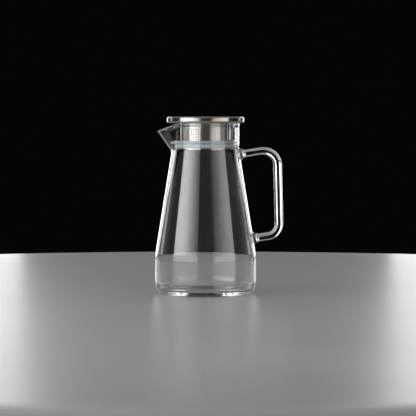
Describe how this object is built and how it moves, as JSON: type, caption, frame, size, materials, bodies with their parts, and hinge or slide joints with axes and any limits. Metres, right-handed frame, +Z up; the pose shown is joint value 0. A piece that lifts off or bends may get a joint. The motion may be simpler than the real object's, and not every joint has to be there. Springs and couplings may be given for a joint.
{
  "type": "glass jug",
  "caption": "Clear glass water jug with a bent rod handle, a pouring beak and a lift-out steel strainer lid with a silicone seal.",
  "frame": {"origin": "on the jug's axis, in the plane of the foot ring that it stands on", "axes": "+Z up along the jug's axis, -X towards the pouring beak, +X towards the handle"},
  "size_m": [0.1593, 0.126, 0.22],
  "materials": {
    "glass": "clear fire-polished borosilicate glass",
    "cap_steel": "brushed round the edge and across the top",
    "strainer_steel": "satin stainless sheet",
    "silicone": "translucent milky silicone"
  },
  "bodies": {
    "jug": {"glass_vessel": "glass", "handle_rod": "glass", "upper_weld_pad": "glass", "lower_weld_pad": "glass"},
    "seal": {"silicone_seal": "silicone"},
    "lid": {"cap_shell": "cap_steel", "cap_base": "cap_steel", "strainer_sleeve": "strainer_steel", "seal_carrier": "strainer_steel"}
  },
  "joints": [
    {"name": "lid_lift", "type": "slide", "parent": "jug", "child": "seal", "axis": [0, 0, 1], "range_m": [0, 0.06]},
    {"name": "lid_turn", "type": "hinge", "parent": "seal", "child": "lid", "pos_m": [0, 0, 0.186], "axis": [0, 0, 1], "continuous": true}
  ]
}
